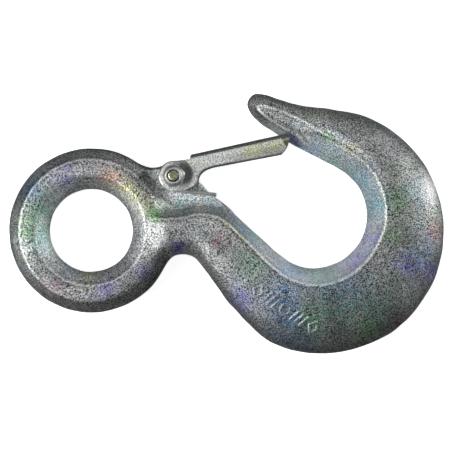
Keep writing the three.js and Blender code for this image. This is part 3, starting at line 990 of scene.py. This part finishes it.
def nut_field(x, y, z):
    """The lock nut: a hexagon, and a round collar whose lip is rolled over the insert's pocket."""
    radius = from_pivot(x, y)
    top = EAR_FACE_Z + NUT_HEX_HEIGHT
    block = hex_block(x, y, z, EAR_FACE_Z, top, NUT_TURN, chamfer_high=True)
    collar = turned_distance(
        [
            (0, EAR_FACE_Z + 1),
            (NUT_COLLAR_RADIUS + 0.1, EAR_FACE_Z + 1),
            (NUT_COLLAR_RADIUS, NUT_TOP_Z - 1.2),
            (NUT_COLLAR_RADIUS - 0.15, NUT_TOP_Z - 0.75),
            (NUT_LIP_RADIUS + 0.25, NUT_TOP_Z - 0.2),
            (NUT_LIP_RADIUS, NUT_TOP_Z),
            (0, NUT_TOP_Z),
        ],
        x, y, z,
    )
    nut = smooth_min(block, collar, 0.5)
    bore = np.maximum(radius - BOLT_RADIUS - CLEARANCE, z - NUT_TOP_Z + 0.7)
    mouth = np.maximum(radius - NUT_MOUTH_RADIUS, top + 1 - z)
    pocket = np.maximum(radius - INSERT_RADIUS, np.maximum(top - z, z - INSERT_TOP_Z)) - CLEARANCE
    return smooth_max(nut, -np.minimum.reduce([bore, mouth, pocket]), FINE_EDGE)


def insert_field(x, y, z):
    """The nylon ring in the nut's pocket."""
    low = EAR_FACE_Z + NUT_HEX_HEIGHT
    inside = BOLT_RADIUS + CLEARANCE
    outline = [(inside, low), (INSERT_RADIUS, low), (INSERT_RADIUS, INSERT_TOP_Z), (inside, INSERT_TOP_Z)]
    return turned_distance(outline, x, y, z)


FASTENER_REACH = 5.6


def fastener(name, field, low_z, high_z, step, material, slot, node):
    """A piece at the pivot, and its points."""
    low = PIVOT_X - FASTENER_REACH, PIVOT_Y - FASTENER_REACH, low_z
    high = PIVOT_X + FASTENER_REACH, PIVOT_Y + FASTENER_REACH, high_z
    points, quads = modelled(field, low, high, step)
    return piece(name, points, quads, material, "latch", slot, node), points


def fasteners(bolt_material, nut_material, insert_material):
    """The bolt, the nut and the nut's insert."""
    bolt, points = fastener("pivot_bolt", bolt_field, -13, 14.6, 0.16, bolt_material, "bolt", "latch_bolt")
    radius = from_pivot(*points.T[:2])
    thread = ramp(radius, BOLT_FACE_RADIUS, 0.2) * (points[:, 2] > THREAD_START_Z)
    # Painted shade in the thread's grooves.
    mark(bolt.data, "wear_and_painted_light", -1.2 * thread)
    fastener("locking_nut", nut_field, 7.8, 14.6, 0.13, nut_material, "nut", "lock_nut")
    fastener("nylon_ring", insert_field, 11, 14, 0.1, insert_material, "insert", "nut_insert")


# ---- Latch spring ----

LEG_END = (49.0, 10.2)
LEG_ANGLE = -100
ARM_ANGLE = 84
ARM_LOW = (41.0, 23.2)
BRIDGE_X = 50
BRIDGE_CORNER = 1.6
COIL_POINTS = 24
COIL_OUTER_Z = EAR_INNER_Z - GAP - WIRE_RADIUS
COIL_INNER_Z = COIL_OUTER_Z - COIL_PITCH * COIL_TURNS
WIRE_SIDES = 16
WIRE_STEPS = 6
WIRE_END_SHARE = 0.8                 # the rounded end's radius, as a share of the wire's
WIRE_END_LENGTH = 0.15


def spring_route():
    """The centre line of the spring's upper half, from the leg's end to the middle of the bridge."""
    bridge_y = web_top(BRIDGE_X) - SHEET - GAP - WIRE_RADIUS
    angles = np.radians(np.linspace(LEG_ANGLE, ARM_ANGLE - 720, COIL_POINTS))
    coil = np.column_stack([
        PIVOT_X + COIL_RADIUS * np.cos(angles),
        PIVOT_Y + COIL_RADIUS * np.sin(angles),
        np.linspace(COIL_OUTER_Z, COIL_INNER_Z, COIL_POINTS),
    ])
    return np.vstack([
        [(*LEG_END, COIL_OUTER_Z)],
        coil,
        [(*ARM_LOW, COIL_INNER_Z)],
        [(BRIDGE_X - BRIDGE_CORNER, bridge_y - GAP, COIL_INNER_Z)],
        [(BRIDGE_X, bridge_y, COIL_INNER_Z - BRIDGE_CORNER)],
        [(BRIDGE_X, bridge_y, 0)],
    ])


def tube(route, radius, sides):
    """A round bar along a route, with a slightly rounded end at its start."""
    forward = np.gradient(route, axis=0)
    forward /= np.linalg.norm(forward, axis=1)[:, None]
    side = np.cross(forward[0], (0, 0, 1.0))
    angles = np.linspace(0, 2 * math.pi, sides, endpoint=False)[:, None]
    rings = []
    for place, way in zip(route, forward):
        side = side - way * side.dot(way)
        side /= np.linalg.norm(side)
        rings.append(place + radius * (np.cos(angles) * side + np.sin(angles) * np.cross(way, side)))
    end = route[0] + (rings[0] - route[0]) * WIRE_END_SHARE - forward[0] * WIRE_END_LENGTH
    points, quads = closed_skin([end, *rings])
    return points, [tuple(dict.fromkeys(quad)) for quad in quads.tolist()]


def spring(material):
    """Two mirrored halves, each wound between the hook and the latch, which meet in the bridge."""
    route = catmull_rom(spring_route(), WIRE_STEPS)
    for name, sign in (("spring_upper", 1), ("spring_lower", -1)):
        points, faces = tube(route * (1, 1, sign), WIRE_RADIUS, WIRE_SIDES)
        obj = smooth_object(name, points, faces, material)
        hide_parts("latch_spring")
        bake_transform(obj)


# ---- Materials ----


def node_material(name):
    """A new material, its node tree and its shader."""
    material = bpy.data.materials.new(name)
    material.use_nodes = True
    tree = material.node_tree
    return material, tree, tree.nodes["Principled BSDF"]


def feed(tree, socket, value):
    """Sets a socket to a number or a colour, or links it to an output."""
    if isinstance(value, tuple):
        socket.default_value = (*value, 1)[: len(socket.default_value)]
    elif isinstance(value, (int, float)):
        socket.default_value = value
    else:
        tree.links.new(value, socket)


def noise(tree, scale, detail, rough, seed):
    """A soft random pattern from 0 to 1, `scale` patches to the metre."""
    place = tree.nodes.new("ShaderNodeTexCoord")
    texture = tree.nodes.new("ShaderNodeTexNoise")
    texture.noise_dimensions = "4D"
    for key, number in (("W", seed), ("Scale", scale), ("Detail", detail), ("Roughness", rough)):
        texture.inputs[key].default_value = number
    tree.links.new(place.outputs["Object"], texture.inputs["Vector"])
    return texture.outputs["Fac"]


def spread(tree, value, low_in, high_in, low_out, high_out):
    """Maps one range of a value to another, and holds it there."""
    node = tree.nodes.new("ShaderNodeMapRange")
    keys = "Value", "From Min", "From Max", "To Min", "To Max"
    for key, number in zip(keys, (value, low_in, high_in, low_out, high_out)):
        feed(tree, node.inputs[key], number)
    return node.outputs["Result"]


def maths(tree, operation, a, b=0):
    node = tree.nodes.new("ShaderNodeMath")
    node.operation = operation
    feed(tree, node.inputs[0], a)
    feed(tree, node.inputs[1], b)
    return node.outputs["Value"]


def tinted(tree, factor, a, b, blend="MIX"):
    node = tree.nodes.new("ShaderNodeMix")
    node.data_type = "RGBA"
    node.blend_type = blend
    for key, value in (("Factor", factor), ("A", a), ("B", b)):
        feed(tree, node.inputs[key], value)
    return node.outputs["Result"]


def scaled(tree, colour, factor):
    node = tree.nodes.new("ShaderNodeVectorMath")
    node.operation = "SCALE"
    feed(tree, node.inputs[0], colour)
    feed(tree, node.inputs["Scale"], factor)
    return node.outputs["Vector"]


def attribute(tree, name, output="Fac"):
    node = tree.nodes.new("ShaderNodeAttribute")
    node.attribute_name = name
    return node.outputs[output]


def line_at(tree, away, place, solid, gone, strength):
    """A line where `away` is `place`: full out to `solid` from there, and nothing past `gone`."""
    off = maths(tree, "ABSOLUTE", maths(tree, "SUBTRACT", away, place))
    return spread(tree, off, solid, gone, strength, 0)


def crease_line(tree):
    """A crisp bright line where the distance from a crease is zero, a worn edge partly painted as a
    highlight, with painted shade as a dark line on either side.
    """
    away = attribute(tree, "from_crease")
    light = line_at(tree, away, 0, 0.1, 0.55, 1)
    outside = line_at(tree, away, 1.05, 0.1, 0.6, 0.7)
    inside = line_at(tree, away, -0.9, 0.1, 0.5, 0.4)
    wear_and_light = maths(tree, "SUBTRACT", light, maths(tree, "ADD", outside, inside))
    return maths(tree, "MULTIPLY", wear_and_light, attribute(tree, "crease_brightness"))


def passivation_hue(tree):
    """The coating's faint rainbow, from blue to orange."""
    hue = tree.nodes.new("ShaderNodeValToRGB")
    tree.links.new(noise(tree, 90, 5, 0.75, seed=5), hue.inputs["Fac"])
    ramp_ends = hue.color_ramp.elements
    ramp_ends[0].position, ramp_ends[0].color = 0.3, (0.70, 0.66, 1.0, 1)
    ramp_ends[1].position, ramp_ends[1].color = 0.7, (1.0, 0.84, 0.58, 1)
    for position, shade in ((0.41, (0.66, 0.92, 1.0, 1)), (0.5, (1, 1, 1, 1)), (0.6, (0.80, 1.0, 0.78, 1))):
        ramp_ends.new(position).color = shade
    return hue.outputs["Color"]


INNER_WALL_COLOUR = (0.575, 0.59, 0.605)
WORN_AND_HIGHLIGHT_COLOUR = (0.8, 0.8, 0.79)
PAINTED_SHADE_COLOUR = (0.12, 0.12, 0.12)
METALLIC = 0.92
GRAIN_SCALE = 2200
GRAIN_DEPTH = 0.0004                 # in metres, for a grain of 1
MATTE_STEP = 0.07                    # how far the roughness wanders either way
WORN_POLISH = 0.12                   # how much smoother worn places are


def plated_metal(name, colour, roughness, grain, mottle=0.25, tint=0.3, edges=0.6, worn_and_painted_in_places=False):
    """Zinc-coated steel: grainy and mottled, with faint passivation tints, brighter worn edges, and where
    marked, painted highlights and painted shade.
    """
    material, tree, shader = node_material(name)
    link = tree.links.new
    inner = attribute(tree, "inner_wall")
    wear_and_light = attribute(tree, "wear_and_painted_light")
    if worn_and_painted_in_places:
        wear_and_light = maths(tree, "ADD", wear_and_light, crease_line(tree))
        bare = maths(tree, "MULTIPLY", maths(tree, "MAXIMUM", wear_and_light), 0.35)
        soft = maths(tree, "ADD", maths(tree, "MULTIPLY", inner, 0.45), bare)
        link(maths(tree, "SUBTRACT", METALLIC, soft), shader.inputs["Metallic"])
    else:
        shader.inputs["Metallic"].default_value = METALLIC

    tint = spread(tree, noise(tree, 28, 1, 0.5, seed=21), 0.4, 0.65, tint * 0.2, tint)
    base = tinted(tree, inner, colour, INNER_WALL_COLOUR)
    base = tinted(tree, tint, base, passivation_hue(tree), "MULTIPLY")

    sharp = attribute(tree, "sharpness")
    patchy = spread(tree, noise(tree, 160, 2, 0.6, seed=12), 0.35, 0.6, 0.45, 1)
    worn_edges = spread(tree, sharp, 0.3, 1.0, 0, edges)
    # Worn edges, marked wear and painted highlights lighten it towards the worn colour.
    worn_and_highlit = maths(tree, "MAXIMUM", worn_edges, maths(tree, "MULTIPLY", wear_and_light, edges))
    worn_and_highlit = maths(tree, "MULTIPLY", worn_and_highlit, patchy)
    # Painted shade: darker in hollows, and where the marks are negative.
    painted_darkening = maths(tree, "MULTIPLY", maths(tree, "MINIMUM", wear_and_light), -0.75)
    painted_shade_mask = maths(tree, "MAXIMUM", spread(tree, sharp, -0.5, -0.08, 0.35, 0), painted_darkening)
    base = tinted(tree, worn_and_highlit, base, WORN_AND_HIGHLIGHT_COLOUR)
    base = tinted(tree, painted_shade_mask, base, PAINTED_SHADE_COLOUR)

    light = spread(tree, noise(tree, 70, 4, 0.6, seed=1), 0.3, 0.7, 1 - mottle, 1 + mottle)
    specks = noise(tree, GRAIN_SCALE, 2, 0.8, seed=2)
    speckle = spread(tree, specks, 0.43, 0.57, -grain, grain)
    if worn_and_painted_in_places:
        wall_grain = spread(tree, inner, 0, 1.5, 1, 0.5)
        worn_grain = spread(tree, worn_and_highlit, 0.2, 1, 1, 0.4)
        speckle = maths(tree, "MULTIPLY", speckle, maths(tree, "MULTIPLY", wall_grain, worn_grain))
    light = maths(tree, "MULTIPLY", light, maths(tree, "ADD", speckle, 1))

    speckled = spread(tree, noise(tree, 420, 4, 0.75, seed=31), 0.4, 0.6, 0.1, 1)
    base = tinted(tree, speckled, base, attribute(tree, "tint", "Color"), "MULTIPLY")
    link(scaled(tree, base, light), shader.inputs["Base Color"])

    matte = noise(tree, 260, 3, 0.6, seed=7)
    matte = spread(tree, matte, 0.3, 0.7, roughness - MATTE_STEP, roughness + MATTE_STEP)
    matte = maths(tree, "SUBTRACT", matte, maths(tree, "MULTIPLY", worn_and_highlit, WORN_POLISH))
    link(matte, shader.inputs["Roughness"])

    fine = maths(tree, "MULTIPLY", noise(tree, 3500, 2, 0.6, seed=3), 0.4)
    bump = tree.nodes.new("ShaderNodeBump")
    bump.inputs["Strength"].default_value = 0.5
    bump.inputs["Distance"].default_value = grain * GRAIN_DEPTH
    link(maths(tree, "ADD", specks, fine), bump.inputs["Height"])
    link(bump.outputs["Normal"], shader.inputs["Normal"])
    return material


def dull_plastic(name, colour):
    """Plain dark plastic, a little uneven."""
    material, tree, shader = node_material(name)
    shade = spread(tree, noise(tree, 900, 2, 0.5, seed=9), 0.3, 0.7, 0.8, 1.3)
    tree.links.new(scaled(tree, colour, shade), shader.inputs["Base Color"])
    shader.inputs["Roughness"].default_value = 0.55
    return material


# ---- Stage, light and camera ----


FLOOR_RADIUS = 4.0
BACKDROP_HEIGHT = 3.0
BACKDROP_SIDES = 48


def stage_piece(name, points, faces, seen_by_light):
    """A plain white surface round the object, which shows in no reflection."""
    material, tree, shader = node_material(name)
    settings = ("Base Color", (0.9, 0.9, 0.9)), ("Emission Color", (1.0, 1.0, 1.0))
    settings += ("Roughness", 0.9), ("Emission Strength", 0.9)
    for key, value in settings:
        feed(tree, shader.inputs[key], value)
    obj = new_object(name, points, faces, material)
    obj.visible_glossy = False
    obj.visible_diffuse = seen_by_light
    obj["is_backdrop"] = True


def stage():
    """A round floor that the hook lies on, and a wall round it that is seen only in low views."""
    count = BACKDROP_SIDES
    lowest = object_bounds()[0][2]
    angles = [2 * math.pi * i / count for i in range(count)]
    edge = [(FLOOR_RADIUS * math.cos(a), FLOOR_RADIUS * math.sin(a), lowest) for a in angles]
    stage_piece("floor", edge, [tuple(range(count))], seen_by_light=True)
    top = [(x, y, lowest + BACKDROP_HEIGHT) for x, y, _ in edge]
    wall = [((i + 1) % count, i, i + count, (i + 1) % count + count) for i in range(count)]
    stage_piece("backdrop", edge + top, wall, seen_by_light=False)


CENTRE = Vector((0.0516, -0.0016, 0.006))
VIEW_ROLL = math.radians(-4.1)        # how far the camera is turned about its own axis
VIEW_DISTANCE = 0.8
VIEW_WIDTH = 0.1723                   # the width that the camera sees at the hook
SENSOR_WIDTH = 36


def camera():
    """A camera straight above the hook."""
    data = bpy.data.cameras.new("camera")
    data.sensor_width = SENSOR_WIDTH
    data.lens = SENSOR_WIDTH * VIEW_DISTANCE / VIEW_WIDTH
    data.clip_start = 0.01
    obj = bpy.data.objects.new("camera", data)
    bpy.context.collection.objects.link(obj)
    turn = Matrix.Rotation(VIEW_ROLL, 4, "Z")
    obj.matrix_world = Matrix.Translation(CENTRE) @ turn @ Matrix.Translation((0, 0, VIEW_DISTANCE))
    bpy.context.scene.camera = obj


LIGHT_DISTANCE = 0.7


def softbox(name, azimuth, elevation, size, radiance):
    """An area light aimed at the hook. Azimuth runs anticlockwise from the camera's right."""
    data = bpy.data.lights.new(name, "AREA")
    data.shape = "RECTANGLE"
    data.size, data.size_y = size
    data.energy = radiance * math.pi * size[0] * size[1]
    obj = bpy.data.objects.new(name, data)
    bpy.context.collection.objects.link(obj)
    around = math.radians(azimuth) + VIEW_ROLL
    up = math.radians(elevation)
    way = Vector((math.cos(around) * math.cos(up), math.sin(around) * math.cos(up), math.sin(up)))
    obj.location = CENTRE + way * LIGHT_DISTANCE
    obj.rotation_euler = way.to_track_quat("Z", "Y").to_euler()


def surroundings(level):
    """An even white glow from all round."""
    world = bpy.data.worlds.new("studio")
    bpy.context.scene.world = world
    world.use_nodes = True
    background = world.node_tree.nodes["Background"]
    background.inputs["Color"].default_value = (1, 1, 1, 1)
    background.inputs["Strength"].default_value = level


def studio():
    """Soft light from the upper left, with small bright lights low on the right for the glints."""
    bpy.context.scene.view_settings.view_transform = "Standard"
    surroundings(0.04)
    softbox("key", 192, 43, (0.28, 0.28), 18.5)
    softbox("right_strip", 8, 14, (0.22, 0.24), 3.8)
    softbox("right_glint", 22, 14, (0.06, 0.1), 95)
    softbox("top_fill", 90, 35, (0.6, 0.3), 0.9)
    softbox("overhead", 90, 72, (0.5, 0.4), 0.4)
    stage()
    camera()


# ---- Build ----

forging = plated_metal(
    "galvanised_forging", (0.36, 0.365, 0.365), 0.52, grain=0.98, mottle=0.32, tint=0.6, edges=0.9,
    worn_and_painted_in_places=True,
)
sheet = plated_metal(
    "plated_sheet", (0.70, 0.71, 0.70), 0.6, grain=0.42, mottle=0.1, edges=0.35, worn_and_painted_in_places=True
)
yellow_zinc = plated_metal("yellow_zinc", (0.54, 0.53, 0.33), 0.35, grain=0.4, mottle=0.1, tint=0.2)
nut_zinc = plated_metal("plated_nut", (0.52, 0.53, 0.52), 0.58, grain=0.35, mottle=0.1, tint=0.2)
wire = plated_metal("spring_wire", (0.6, 0.6, 0.6), 0.4, grain=0.1, mottle=0.1, tint=0.1)
nylon = dull_plastic("nylon", (0.05, 0.06, 0.08))

hook_body(forging)
latch(sheet)
fasteners(yellow_zinc, nut_zinc, nylon)
spring(wire)
studio()
